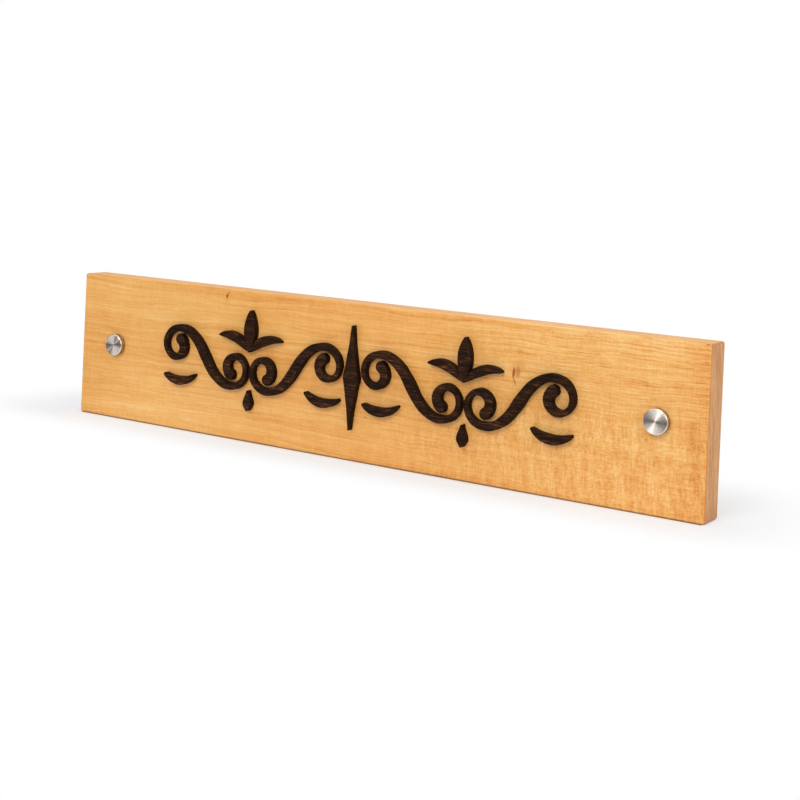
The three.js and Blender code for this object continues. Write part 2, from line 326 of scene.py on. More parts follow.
wood.surface(
    Base_Color=board_colour,
    Roughness=0.44 + medium * 0.12 + ends * 0.18 + top * 0.12,
    Normal=wood.bump(relief, 0.35, 0.00006),
    Coat_Weight=0.16 - ends * 0.12 - top * 0.1,
    Coat_Roughness=0.22,
)
print("honey wood has", len(wood.tree.nodes), "nodes")

# %% [markdown]
# ## The dark wood
# Wenge: almost black brown, with short lighter streaks and open pores that run along the grain. Oil
# leaves it dull. The streaks are noises stretched along the board, because every ornament piece was sawn
# with its grain the same way. The sawn sides of each piece are painted darker than its face, partly
# because sawn grain drinks more oil than the sanded face, and partly as painted shade in the relief.

# %% Finish: dark ornament wood
dark_wenge, wenge = new_finish("dark_wenge")
place = wenge.millimetres()
sway = wenge.noise(place, (24, 9, 11), 1)
swayed = place + wenge.join(0, 0, sway * 3)
bands = wenge.noise(swayed, (40, 1.4, 1.1), 2, 0.6)
threads = wenge.noise(swayed, (6.5, 0.35, 0.3), 2, 0.6)
patches = wenge.noise(place, (16, 6, 5), 1)
pits = wenge.ease(wenge.noise(swayed, (2.6, 0.25, 0.22), 1), 0.08, 0.2)
# Sawn sides, found by which way the surface faces: darkened partly for their oil-soaked sawn grain and
# partly as painted shade.
sawn_grain_and_painted_shade = 1 - wenge.ease(abs(wenge.facing()[1]), 0.3, 0.8)
WENGE_STOPS = {0.2: (18, 8, 3), 0.5: (36, 19, 9), 0.72: (68, 38, 19), 0.95: (126, 76, 40)}
browns = wenge.ramp(bands * 1.2 + threads * 1.7 + patches * 0.5 + 0.51, WENGE_STOPS)
browns = wenge.tint(pits * 0.7, browns, colour(15, 7, 4))
wenge.surface(
    Base_Color=wenge.tint(sawn_grain_and_painted_shade * 0.6, browns, colour(10, 4, 2)),
    Roughness=0.55 + pits * 0.2 - threads * 0.15,
    Normal=wenge.bump(threads * 0.8 + bands * 0.5 - pits, 0.6, 0.00012),
    Specular_IOR_Level=0.09,
)
print("dark wood has", len(wenge.tree.nodes), "nodes")

# %% [markdown]
# ## The metals and the rubber
# The caps are stainless steel, faced on a lathe: the tool leaves fine rings, so light spreads across them
# and shows as two bright wedges. The collars are brass, the screws are zinc-plated steel, and the washers
# are rubber. Each gets a faint unevenness of its own, since no real finish is one even grey.

# %% Finish: spun steel caps
spun_steel, steel = new_finish("spun_steel")
place = steel.millimetres()
x, y, z = steel.split(place)
radius = (x * x + y * y) ** 0.5
rings = steel.noise(steel.join(radius, 0, 0), 0.09, 2, 0.7)
wide_rings = steel.noise(steel.join(radius, 3, 0), 0.6, 2, 0.6)
handling = steel.noise(place, 3)
on_face = steel.ease(z, -0.05, -0.02)
bright = steel.tint(wide_rings * 0.7 + 0.5, colour(226, 216, 206), colour(242, 232, 222))
# The cap's side, from about a millimetre behind its face, gets a darker steel colour: painted shade,
# standing in for the shadowed wood that the side mirrors.
steel.surface(
    Base_Color=steel.tint(steel.ease(z, -1.2, -0.8), colour(164, 156, 147), bright),
    Metallic=1,
    Roughness=0.2 + on_face * 0.145 + handling * 0.06 + rings * on_face * 0.12,
    Normal=steel.bump((rings + 0.5) * on_face, 0.4, 0.000006),
    Anisotropic=0.95,
    Anisotropic_Rotation=0.25,
)

# %% Finish: brass, zinc and rubber
turned_brass, brass = new_finish("turned_brass")
place = brass.millimetres()
tarnish = brass.noise(place, 2.4, 3)
marks = brass.noise(place, (3, 0.12, 3))
brass.surface(
    Base_Color=brass.tint(tarnish + 0.5, colour(224, 188, 118), colour(196, 150, 84)),
    Metallic=1,
    Roughness=0.3 + tarnish * 0.2,
    Normal=brass.bump(marks, 0.4, 0.00001),
)

zinc_plate, zinc = new_finish("zinc_plate")
place = zinc.millimetres()
bloom = zinc.noise(place, 1.8, 3)
grit = zinc.noise(place, 0.2)
zinc.surface(
    Base_Color=zinc.tint(bloom + 0.5, colour(206, 208, 210), colour(172, 176, 182)),
    Metallic=1,
    Roughness=0.3 + bloom * 0.25,
    Normal=zinc.bump(grit, 0.25, 0.00001),
)

washer_rubber, rubber = new_finish("washer_rubber")
dust = rubber.noise(rubber.millimetres(), 0.7, 3)
rubber.surface(
    Base_Color=rubber.tint(dust + 0.5, colour(30, 30, 31), colour(52, 51, 50)),
    Roughness=0.75 + dust * 0.2,
    Normal=rubber.bump(dust, 0.3, 0.00004),
)
print("finishes made:", sorted(material.name for material in bpy.data.materials))

# %% [markdown]
# ## Turning numbers into pieces
# Points are worked out in millimetres with NumPy and become a mesh here. `sharp` is the angle past which
# an edge stays crisp. A Weighted Normal modifier lets the large flat faces decide the shading, so a small
# rounded arris beside them doesn't make them look swollen.

# %% A mesh from points and faces
def make_piece(name, points, faces, finish, body, replaces, sharp):
    mesh = bpy.data.meshes.new(name)
    mesh.from_pydata([tuple(p) for p in points * MM], [], [tuple(map(int, f)) for f in faces])
    mesh.polygons.foreach_set("use_smooth", [True] * len(mesh.polygons))
    mesh.set_sharp_from_angle(angle=math.radians(sharp))
    mesh.materials.append(finish)
    piece = bpy.data.objects.new(name, mesh)
    bpy.context.scene.collection.objects.link(piece)
    weigh = piece.modifiers.new("weigh", "WEIGHTED_NORMAL")
    weigh.keep_sharp = True
    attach(piece, body)
    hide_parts(replaces)
    return piece


GOLDEN_ANGLE = 2.39996
WAVE_SHORTENS = 1.83
WAVE_LOWERS = 1.5


def wander(along, seed, waves=4):
    """A smooth uneven line between -1 and 1, the same on every run. Along is in waves of the longest."""
    total = np.zeros_like(along)
    for k in range(waves):
        phase = seed * (k + 1) * GOLDEN_ANGLE
        total += np.sin(2 * math.pi * along * WAVE_SHORTENS ** k + phase) / WAVE_LOWERS ** k
    return total / sum(1 / WAVE_LOWERS ** k for k in range(waves))


# %% [markdown]
# ## Filling a flat shape
# Both the board's face and every sawn piece are flat shapes with a rounded edge. `fill` asks Blender for
# the Delaunay triangles inside one or more closed outlines. Outlines that overlap become one shape, and
# `holes` stay open. The edges that only one triangle uses are then the true outline.

# %% Triangles inside closed outlines
def inside(points, outline):
    """Which points lie inside a closed outline: a line from each crosses it an odd number of times."""
    x, z = points[:, :1], points[:, 1:2]
    x1, z1 = outline[:, 0], outline[:, 1]
    x2, z2 = np.roll(x1, -1), np.roll(z1, -1)
    crosses = (z1 > z) != (z2 > z)
    with np.errstate(divide="ignore", invalid="ignore"):
        at = (x2 - x1) * (z - z1) / (z2 - z1) + x1
    return (np.count_nonzero(crosses & (x < at), axis=1) % 2).astype(bool)


def fill(outlines, holes=(), extra=()):
    """Points and triangles inside the outlines but outside the holes."""
    points, edges = [], []
    for loop in [*outlines, *holes]:
        first = len(points)
        points += [Vector(p) for p in loop]
        edges += [(first + i, first + (i + 1) % len(loop)) for i in range(len(loop))]
    points += [Vector(p) for p in extra]
    found, _, faces, *_ = delaunay_2d_cdt(points, edges, [], 0, 1e-5)
    flat = np.array([tuple(p) for p in found])
    faces = np.array(faces)
    middles = flat[faces].mean(axis=1)
    kept = np.zeros(len(faces), bool)
    for loop in outlines:
        kept |= inside(middles, loop)
    for loop in holes:
        kept &= ~inside(middles, loop)
    return flat, faces[kept]


def rim(faces):
    """The edges that only one triangle uses, each the way round that its triangle has it."""
    sides = {(a, b) for face in faces for a, b in zip(face, np.roll(face, -1))}
    return [(a, b) for a, b in sides if (b, a) not in sides]


def distance(points, starts, ends):
    """How far each point is from the nearest of the line pieces from starts to ends."""
    nearest = np.full(len(points), np.inf)
    for a, b in zip(starts, ends):
        along = b - a
        share = np.clip((points - a) @ along / max(along @ along, 1e-12), 0, 1)
        nearest = np.minimum(nearest, np.linalg.norm(points - a - share[:, None] * along, axis=1))
    return nearest


# %% [markdown]
# ## The board
# On the real plate it is one planed plank, its edges eased with sandpaper. A plain cube with a Bevel
# modifier would give every edge the same radius. Here rings of points run round the plank, one for each
# step of the rounding, and the radius wanders a little along the way, as hand sanding leaves it. The two
# screw holes are part of the same mesh.

# %% Sizes of the board's details
ARRIS = 0.7
ARRIS_WANDER = 0.22
ARRIS_WANDER_LENGTH = 170
WORN_BELOW = 0.4
CORNER = 1.6
HOLES = [(-204.2, 52.0), (207.5, 53.6)]
HOLE_RADIUS = 2.3
RIM_EASE = 0.25
BOARD_STEP = 4.0
CORNER_STEPS = 8
ARRIS_STEPS = 6
HOLE_SIDES = 40
GRID_STEPS = (9, 7)
GRID_MARGIN = 8
GRID_OFF_HOLES = 6


# %% Rings round the board
def directions(angles):
    """A step of 1 in each direction, across and up."""
    return np.column_stack([np.cos(angles), np.sin(angles)])


def stand(flat, depth):
    """Points of a flat shape stood up in space, at one depth or at a depth for each."""
    return np.column_stack([flat[:, 0], np.broadcast_to(depth, len(flat)), flat[:, 1]])


def walk(points):
    """How far along a line of points each of them is."""
    return np.concatenate([[0], np.cumsum(np.linalg.norm(np.diff(points, axis=0), axis=1))])


def board_outline():
    """The plank's outline seen from the front, with each point's outward direction."""
    reach = LENGTH / 2 - CORNER
    arcs = []
    for x, z, start in ((-reach, CORNER, 180), (reach, CORNER, 270),
                        (reach, HEIGHT - CORNER, 0), (-reach, HEIGHT - CORNER, 90)):
        ways = directions(np.radians(start + 90 * np.arange(CORNER_STEPS + 1) / CORNER_STEPS))
        arcs.append(((x, z) + CORNER * ways, ways))
    points, outward = [], []
    for (arc, ways), (following, _) in zip(arcs, arcs[1:] + arcs[:1]):
        run = following[0] - arc[-1]
        steps = max(1, round(np.linalg.norm(run) / BOARD_STEP))
        points += [arc, arc[-1] + run * np.arange(1, steps)[:, None] / steps]
        outward += [ways, np.repeat(ways[-1:], steps - 1, axis=0)]
    return np.concatenate(points), np.concatenate(outward)


outline, outward = board_outline()
walked = walk(outline)
print("board outline:", len(outline), "points,", round(walked[-1]), "mm round")


# %% The board itself
def ring(ease, seed, angle, side):
    """One ring of the rounded edge. Angle 0 is on the edge and 90 on the face; side is -1 front, 1 back."""
    underneath = np.maximum(0, -outward[:, 1])
    uneven = ARRIS_WANDER * wander(walked / ARRIS_WANDER_LENGTH, seed)
    radius = ease * (1 + uneven + WORN_BELOW * underneath)
    inset = radius * (1 - math.cos(angle))
    depth = side * (THICKNESS / 2 - radius * (1 - math.sin(angle)))
    return stand(outline - outward * inset[:, None], depth)


def hole_ring(hole, radius, depth):
    return stand(hole + radius * directions(np.arange(HOLE_SIDES) * 2 * math.pi / HOLE_SIDES), depth)


def tube(rings, first, count):
    """Quads between rings of points, each of count points, that start at index first."""
    faces = []
    for level in range(rings - 1):
        for k in range(count):
            a, b = first + level * count + k, first + level * count + (k + 1) % count
            faces.append((a, b, b + count, a + count))
    return faces


def join_points(parts, faces):
    """Merges points that lie on each other, so that parts made apart become one closed skin."""
    points = np.concatenate(parts)
    keys, where = np.unique(np.round(points, 4), axis=0, return_inverse=True)
    first = np.zeros(len(keys), int)
    first[where[::-1]] = np.arange(len(points))[::-1]
    return points[first], [tuple(where.ravel()[list(face)]) for face in faces]


def make_board():
    turns = [math.radians(90 * k / ARRIS_STEPS) for k in range(ARRIS_STEPS + 1)]
    rings = [ring(ARRIS, 1.0, turn, -1) for turn in reversed(turns)]
    rings += [ring(ARRIS, 2.0, turn, 1) for turn in turns]
    parts = [np.concatenate(rings)]
    faces = [face[::-1] for face in tube(len(rings), 0, len(outline))]
    start = len(parts[0])
    reach, (step_x, step_z) = LENGTH / 2 - GRID_MARGIN, GRID_STEPS
    grid = np.array([(x, z) for x in np.arange(-reach, reach + 0.1, step_x)
                     for z in np.arange(GRID_MARGIN, HEIGHT - GRID_MARGIN + 0.1, step_z)])
    clear = np.all([np.linalg.norm(grid - hole, axis=1) > GRID_OFF_HOLES for hole in HOLES], axis=0)
    for edge, depth, way in ((rings[0], FACE_Y, 1), (rings[-1], -FACE_Y, -1)):
        loops = [hole_ring(hole, HOLE_RADIUS + RIM_EASE, depth)[:, [0, 2]] for hole in HOLES]
        flat, triangles = fill([edge[:, [0, 2]]], loops, grid[clear])
        parts.append(stand(flat, depth))
        faces += [tuple(start + i for i in face[::way]) for face in triangles]
        start += len(flat)
    levels = [(RIM_EASE, FACE_Y), (0, FACE_Y + RIM_EASE), (0, -FACE_Y - RIM_EASE), (RIM_EASE, -FACE_Y)]
    for hole in HOLES:
        parts.append(np.concatenate([hole_ring(hole, HOLE_RADIUS + ease, y) for ease, y in levels]))
        faces += tube(len(levels), start, HOLE_SIDES)
        start += len(parts[-1])
    return make_piece("plank", *join_points(parts, faces), honey_board, "plate", "board", sharp=50)


plank = make_board()
print("plank:", len(plank.data.vertices), "points,", len(plank.data.polygons), "faces")

# %% [markdown]
# ## The ornament's lines
# Each scroll is one stroke along a line whose bend grows steadily towards both ends, which is what makes
# a scroll look drawn and not compassed. Leaves are short strokes that swell from a round foot to a fine
# tip. These are the same lines as the CAD solids have, with many more points.

# %% Sizes of the ornament
RELIEF = 4.5
ORNAMENT_Z = HEIGHT / 2 + 3.0
STROKE_WIDTHS = [(0.0, 7.2), (0.35, 5.2), (0.68, 3.4), (1.0, 7.4)]
SCROLL_ARM = 80.0
SCROLL_TURN = math.radians(385)
SCROLL_LEAN = math.radians(57)
SCROLL_SHARPNESS = 0.92
PIECE_GAP = 1.7
LOZENGE = {"width": 12.0, "height": 67.0, "tip": 0.8, "hollow": 1.35}
LOW_LEAF_INSET, LOW_LEAF_FALL, SIDE_LEAF_SPREAD = 1.5, 15.0, 1.2
LEAF_FULLNESS = 0.8
# A leaf's heading and bend in degrees, its length, width and pull, and how round its foot and tip are.
LOW_LEAF = (-32, 72, 29.0, 6.0, 0.95, 1.2, 0.9)
MIDDLE_LEAF = (90, 0, 28.0, 9.6, 1.05, 1.2, 0.9)
SIDE_LEAF = (132, 60, 27.5, 6.4, 0.9, 1.2, 0.9)
DROP = (-90, 0, 14.0, 6.8, 1.8, 0.9, 1.6)
ARM_STEPS = 150
LEAF_STEPS = 60
END_STEPS = 16
STEP_CROWDING = 0.8
SCROLL_LINE = (-SCROLL_LEAN, SCROLL_ARM, SCROLL_TURN, SCROLL_SHARPNESS, ARM_STEPS)


# %% Lines that wind, and strokes along them
def winding_line(x, z, heading, length, turn, sharpness, steps):
    """Points, headings and shares of a line whose bend grows along it. Its steps shorten as it bends."""
    share = (np.arange(steps + 1) / steps) ** STEP_CROWDING
    middle = heading + turn * ((share[1:] + share[:-1]) / 2) ** (1 + sharpness)
    pace = length * np.diff(share)
    xs = x + np.concatenate([[0], np.cumsum(np.cos(middle) * pace)])
    zs = z + np.concatenate([[0], np.cumsum(np.sin(middle) * pace)])
    return np.column_stack([xs, zs]), heading + turn * share ** (1 + sharpness), share


def two_arms(x, z, *bend):
    """The same for a line that runs both ways from its middle. Shares are 0 there and 1 at both ends."""
    ahead, turned, share = winding_line(x, z, *bend)
    behind = 2 * np.array([x, z]) - ahead
    halves = ((behind, ahead), (turned, turned), (share, share))
    return [np.concatenate([back[:0:-1], onward]) for back, onward in halves]


def offset(line, heading, reach):
    return line + np.column_stack([-np.sin(heading), np.cos(heading)]) * reach[:, None]


def round_end(middle, heading, radius):
    angles = heading + math.pi / 2 - math.pi * np.arange(1, END_STEPS) / END_STEPS
    return middle + radius * directions(angles)


def stroke(line, heading, half):
    """The outline of a stroke along a line, with a round end at each end of it."""
    left, right = offset(line, heading, half), offset(line, heading, -half)
    return np.concatenate([left, round_end(line[-1], heading[-1], half[-1]),
                           right[::-1], round_end(line[0], heading[0] + math.pi, half[0])])[::-1]


# %% Scrolls, leaves and the lozenge
def half_stroke(share):
    places, widths = zip(*STROKE_WIDTHS)
    return np.interp(share, places, widths) / 2


def scroll_outline(x, z):
    """An S: both of its arms wind up the same way round."""
    line, heading, share = two_arms(x, z, *SCROLL_LINE)
    return stroke(line, heading, half_stroke(share))


def leaf_outline(x, z, leaf):
    """A leaf that starts at a point. A pull above 1 moves its widest place towards the tip."""
    heading, bend, length, width, pull, foot, tip = leaf
    start, bend = math.radians(heading), math.radians(bend)
    foot_x, foot_z = x + foot * math.cos(start), z + foot * math.sin(start)
    line, headings, share = winding_line(foot_x, foot_z, start, length - foot - tip, bend, 0, LEAF_STEPS)
    end = foot + (tip - foot) * share
    swell = np.maximum(0, np.sin(math.pi * share ** pull)) ** LEAF_FULLNESS
    return stroke(line, headings, end + (width / 2 - end) * swell)


def lozenge_outline(z):
    """A tall lozenge whose four sides curve inwards."""
    tip = LOZENGE["tip"]
    line, heading, share = two_arms(0, z, math.pi / 2, LOZENGE["height"] / 2 - tip, 0, 0, ARM_STEPS)
    swell = (LOZENGE["width"] / 2 - tip) * (1 - share) ** LOZENGE["hollow"]
    return stroke(line, heading, tip + swell)


# %% The layout of half the ornament
def lower_curl_top():
    """How high the curl at the end of a scroll's lower arm reaches, above the scroll's middle."""
    line, _, share = winding_line(0, 0, *SCROLL_LINE)
    curl = np.arange(len(share)) > line[:, 1].argmin()
    return (line[curl, 1] + half_stroke(share[curl])).max()


def half_ornament():
    probe = scroll_outline(0, 0)
    reach, fall = probe[:, 0].max(), -probe[:, 1].min()
    inner_x = LOZENGE["width"] / 2 + PIECE_GAP + reach
    meeting = inner_x + reach + PIECE_GAP / 2
    foot = ORNAMENT_Z + lower_curl_top() + PIECE_GAP

    def across(shape):
        return np.column_stack([2 * meeting - shape[:, 0], shape[:, 1]])[::-1]

    scroll = scroll_outline(inner_x, ORNAMENT_Z)
    leaf = leaf_outline(inner_x - reach + LOW_LEAF_INSET, ORNAMENT_Z - LOW_LEAF_FALL, LOW_LEAF)
    side = leaf_outline(meeting - SIDE_LEAF_SPREAD, foot + SIDE_LEAF_SPREAD, SIDE_LEAF)
    return {
        "inner_scroll": [scroll],
        "outer_scroll": [across(scroll)],
        "inner_leaf": [leaf],
        "outer_leaf": [across(leaf)],
        "palmette": [leaf_outline(meeting, foot, MIDDLE_LEAF), side, across(side)],
        "drop": [leaf_outline(meeting, ORNAMENT_Z - fall + PIECE_GAP, DROP)],
    }


# %% [markdown]
# ## Sawing the ornament
# The real pieces are sawn from a sheet, glued flat to the board, and their front edges rounded over with
# abrasive. The height of the face at any point depends only on how far the point is from the sawn edge.
# So a narrow tip is rounded right across and comes out lower, as it does under sandpaper, and where
# leaves join, their edges run together by themselves.

# %% A sawn piece
EDGE_ROUND = 0.85
ROUND_STEPS = 5
SAW_WANDER = 0.07
SAW_WANDER_LENGTH = 14
OWN_EDGE = 0.985


def height_at(depth_in):
    """How far the face stands off the board, this far in from the sawn edge."""
    short = np.clip(EDGE_ROUND - depth_in, 0, EDGE_ROUND)
    return RELIEF - EDGE_ROUND + np.sqrt(np.maximum(EDGE_ROUND ** 2 - short ** 2, 0))


def aside(steps):
    """A step of 1 square to each step, on its right."""
    return np.column_stack([steps[:, 1], -steps[:, 0]]) / np.linalg.norm(steps, axis=1)[:, None]


def saw(name, outlines, mirrored, seed):
    shapes = []
    for shape in outlines:
        if mirrored:
            shape = (shape * [-1, 1])[::-1]
        outward_ways = aside(np.roll(shape, -1, axis=0) - np.roll(shape, 1, axis=0))
        along = walk(shape)
        waves = max(1, round(along[-1] / SAW_WANDER_LENGTH))
        uneven = SAW_WANDER * (1 + wander(along / along[-1] * waves, seed, 1))
        shapes.append(shape - outward_ways * uneven[:, None])
    flat, faces = fill(shapes)
    edge = np.array(rim(faces))
    starts, ends = flat[edge[:, 0]], flat[edge[:, 1]]
    inward = -aside(ends - starts)
    extra = []
    for k in range(1, ROUND_STEPS + 1):
        inset = EDGE_ROUND * (1 - math.cos(math.pi / 2 * k / ROUND_STEPS))
        ring_points = (starts + ends) / 2 + inward * inset
        extra.append(ring_points[distance(ring_points, starts, ends) > inset * OWN_EDGE])
    order = dict(edge)
    loop = [edge[0][0]]
    while order[loop[-1]] != loop[0]:
        loop.append(order[loop[-1]])
    flat, faces = fill([flat[loop]], (), np.concatenate(extra))
    edge = rim(faces)
    starts, ends = [flat[list(corner)] for corner in zip(*edge)]
    front = FACE_Y - height_at(distance(flat, starts, ends))
    points = np.concatenate([stand(flat, front), stand(flat, FACE_Y)])
    count = len(flat)
    skin = [tuple(face) for face in faces] + [tuple(face[::-1] + count) for face in faces]
    skin += [(a, a + count, b + count, b) for a, b in edge]
    return make_piece(name + "_sawn", points, skin, dark_wenge, "plate", name, sharp=35)


sawn = [saw("centre_lozenge", [lozenge_outline(ORNAMENT_Z)], False, 0.5)]
for number, (name, outlines) in enumerate(half_ornament().items()):
    sawn.append(saw("left_" + name, outlines, True, 1.0 + number))
    sawn.append(saw("right_" + name, outlines, False, 1.4 + number))
for piece in sawn:
    low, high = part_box(piece.name.replace("_sawn", ""))
    co = np.array([v.co for v in piece.data.vertices])
    off = max(np.abs(co.min(0) - low).max(), np.abs(co.max(0) - high).max()) / MM
    print(piece.name, len(piece.data.polygons), "faces, off its solid's box by", round(off, 3), "mm")

# %% [markdown]
# ## Turned pieces
# Caps, collars, washers and screws are all turned, so each is a stack of rings round an axis. `turn`
# takes a table of radii and depths, one row for each ring. Where a ring's radius changes round the circle
# the result is a thread.

# %% A turned piece
def turn(rings, sides, closed):
    """Rings are a radius, or one for each side, and a depth along +Y. A radius of 0 is a single point."""
    ways = directions(np.arange(sides) * 2 * math.pi / sides)
    points, faces, starts = [], [], []
    for radius, depth in rings:
        starts.append(len(points))
        radius = np.broadcast_to(radius, sides)
        if radius.max() < 1e-9:
            points.append((0, depth, 0))
        else:
            points += [(x, depth, z) for x, z in radius[:, None] * ways]
    sizes = np.diff(starts + [len(points)])
    following = [*range(1, len(rings))] + [0] * closed
    for low, high in enumerate(following):
        a, b = starts[low], starts[high]
        for k in range(sides):
            n = (k + 1) % sides
            if sizes[low] == 1:
                faces.append((a, b + k, b + n))
            elif sizes[high] == 1:
                faces.append((a + k, b, a + n))
            else:
                faces.append((a + k, b + k, b + n, a + n))
    return np.array(points), faces


FINE_THREAD = {"pitch": 0.5, "per_turn": 8, "fade": 0.25}
WOOD_THREAD = {"pitch": 1.8, "per_turn": 12, "fade": 0.8}
GROOVE_SHARPNESS = 1.3


def thread(sides, radius, depth, start, stop, form, cut=-1):
    """Rings of a helical thread that fades out at both ends. Cut is -1 outside a piece and 1 in a bore."""
    angles = np.arange(sides) / sides
    count = round((stop - start) / form["pitch"] * form["per_turn"]) + 1
    rings = []
    for y in np.linspace(start, stop, count):
        phase = (y / form["pitch"] + angles) % 1
        groove = 0.5 - 0.5 * np.cos(2 * math.pi * phase)
        ease = np.clip(min(y - start, stop - y) / form["fade"], 0, 1)
        rings.append((radius + cut * depth * groove ** GROOVE_SHARPNESS * ease, y))
    return rings


# %% [markdown]
# ## The steel caps
# A cap is a small cup whose face runs out in a narrow rounded edge, so its rim catches a line of light.
# The face has real turning rings, a few thousandths of a millimetre deep and uneven from ring to ring.
# The cap's own Z axis points out of the face, because Cycles lays stretched highlights round an object's
# Z axis by itself. The cap's floor rests on the collar, whose front stands SEAT_ROOM, a hair, away from
# it, so that no two faces share one place.

# %% Sizes of a fixing
SCREW = {"length": 40.0, "radius": 2.0, "core": 1.35, "head": 4.0, "land": 0.3,
         "threaded": 24.0, "run_out": 0.6, "point": 4.5}
SCREW_PLAY = 0.3
HEAD_HEIGHT = SCREW["land"] + SCREW["head"] - SCREW["radius"]
HEAD_RECESS = 0.2
COLLAR_FOOT = 0.4
COLLAR_HEIGHT = HEAD_RECESS + HEAD_HEIGHT + COLLAR_FOOT
COLLAR_RADIUS = 6.2
COLLAR_EASE = 0.3
GASKET = 0.5
GASKET_ROUND = 0.12
COLLAR_FRONT = FACE_Y - GASKET - COLLAR_HEIGHT
SCREW_FRONT = COLLAR_FRONT + HEAD_RECESS
SEAT_ROOM = 0.02
CAP_RADIUS = 7.5
CAP_BORE = 6.5
CAP_FLOOR = 1.0
CAP_FRONT = COLLAR_FRONT - CAP_FLOOR
CAP_RIM = FACE_Y - 0.3
RIM_ROUND = 0.12
EDGE_ARC = 0.7
EDGE_ARC_STEPS = 8
EDGE_START = 14
CENTRE_PIP = 0.12
GROOVE_PITCH = 0.16
GROOVE_STEPS = 4
GROOVE_LEAST, GROOVE_MORE = 0.003, 0.0042
RING_JUMP, RING_SPREAD = 12.9898, 43758.5453
CAP_SIDES = 144
COLLAR_SIDES = 96
print("a cap stands", round(FACE_Y - CAP_FRONT, 2), "mm off the face")


# %% The caps
def ring_noise(number):
    """An uneven share between 0 and 1 for each turning ring, the same on every run."""
    return (math.sin(number * RING_JUMP) * RING_SPREAD) % 1


def cap_rings(seed):
    """A spun face, a fine line round it, a rounded edge, and a threaded bore."""
    face_edge = CAP_RADIUS - EDGE_ARC
    grooves = int((face_edge - CENTRE_PIP) / GROOVE_PITCH)
    rings = [(0, CAP_FRONT + 0.012), (CENTRE_PIP / 2, CAP_FRONT + 0.01)]
    for i in range(grooves * GROOVE_STEPS):
        radius = CENTRE_PIP + i * GROOVE_PITCH / GROOVE_STEPS
        deep = GROOVE_LEAST + GROOVE_MORE * ring_noise(seed + i // GROOVE_STEPS)
        rings.append((radius, CAP_FRONT + deep * (0.5 - 0.5 * math.cos(2 * math.pi * i / GROOVE_STEPS))))
    rings += [(face_edge - 0.05, CAP_FRONT), (face_edge, CAP_FRONT + 0.045)]
    for k in range(EDGE_ARC_STEPS + 1):
        angle = math.radians(EDGE_START + (90 - EDGE_START) * k / EDGE_ARC_STEPS)
        rings.append((face_edge + EDGE_ARC * math.sin(angle), CAP_FRONT + EDGE_ARC * (1 - math.cos(angle))))
    rings += [(CAP_RADIUS, CAP_RIM - RIM_ROUND), (CAP_RADIUS - RIM_ROUND / 3, CAP_RIM - RIM_ROUND / 4),
              (CAP_RADIUS - RIM_ROUND, CAP_RIM), (CAP_BORE + RIM_ROUND, CAP_RIM),
              (CAP_BORE + RIM_ROUND / 4, CAP_RIM - RIM_ROUND / 4)]
    rings += thread(CAP_SIDES, CAP_BORE, 0.22, COLLAR_FRONT + 0.35, CAP_RIM - 0.3, FINE_THREAD, 1)[::-1]
    return rings + [(CAP_BORE, COLLAR_FRONT + 0.02), (CAP_BORE - 0.05, COLLAR_FRONT), (0, COLLAR_FRONT)]


def make_cap(side, hole, seed):
    points, faces = turn(cap_rings(seed), CAP_SIDES, False)
    points[:, 1] -= CAP_FRONT
    upright = np.column_stack([points[:, 0], points[:, 2], -points[:, 1]])
    body = side + "_cap"
    cap = make_piece(body + "_turned", upright, faces, spun_steel, body, body, sharp=30)
    lie = Matrix.Rotation(math.radians(90), 4, "X")
    cap.matrix_world = Matrix.Translation(Vector((hole[0], CAP_FRONT, hole[1])) * MM) @ lie
    bpy.context.view_layer.update()
    return cap


caps = [make_cap("left", HOLES[0], 3.0), make_cap("right", HOLES[1], 57.0)]
print("each cap:", len(caps[0].data.polygons), "faces")

# %% [markdown]
# ## Collars, washers and screws
# These hide under the caps, and show when a cap is off or a fixing is drawn. The collar has a countersink
# for the screw's head and a fine thread outside. The screw is a countersunk wood screw with a rolled
# thread, a point and a cross-shaped recess.

# %% Collars and washers
def collar():
    front, back = COLLAR_FRONT + SEAT_ROOM, COLLAR_FRONT + COLLAR_HEIGHT
    mouth, bore = SCREW["head"] + SCREW_PLAY, SCREW["radius"] + SCREW_PLAY
    shoulder = COLLAR_RADIUS - COLLAR_EASE
    rings = [(mouth, front + 0.05), (mouth + 0.05, front), (shoulder, front)]
    rings += thread(COLLAR_SIDES, COLLAR_RADIUS, 0.2, front + COLLAR_EASE, back - COLLAR_EASE, FINE_THREAD)
    rings += [(shoulder, back), (bore, back), (bore, SCREW_FRONT + HEAD_HEIGHT),
              (mouth, SCREW_FRONT + SCREW["land"])]
    return turn(rings, COLLAR_SIDES, True)


def gasket():
    """A flat washer with four soft edges."""
    outer, bore = COLLAR_RADIUS - 0.2 - GASKET_ROUND, SCREW["radius"] + SCREW_PLAY + GASKET_ROUND
    front, back = FACE_Y - GASKET + GASKET_ROUND, FACE_Y - GASKET_ROUND
    rings = []
    for radius, y, start in ((outer, front, -90), (outer, back, 0), (bore, back, 90), (bore, front, 180)):
        quarter = np.radians(start + np.arange(0, 91, 22.5))
        rings += list((radius, y) + GASKET_ROUND * directions(quarter))
    return turn(rings, COLLAR_SIDES, True)


# %% Screws
SCREW_SIDES = 32
HEAD_EASE = 0.08
SHANK_EASE = 0.25
RECESS_REACH, RECESS_WIDTH, RECESS_DEPTH = 2.1, 0.9, 1.4
FLOOR_REACH_SHARE, FLOOR_WIDTH_SHARE = 0.45, 0.6


def cross_outline(reach, width):
    """A cross with rounded inner corners, counter-clockwise from the front."""
    half = width / 2
    arm = [(reach, -half), (reach, half), (half * 1.5, half * 1.15), (half * 1.15, half * 1.5)]
    points = []
    for _ in range(4):
        points += arm
        arm = [(-up, across) for across, up in arm]
    return np.array(points)


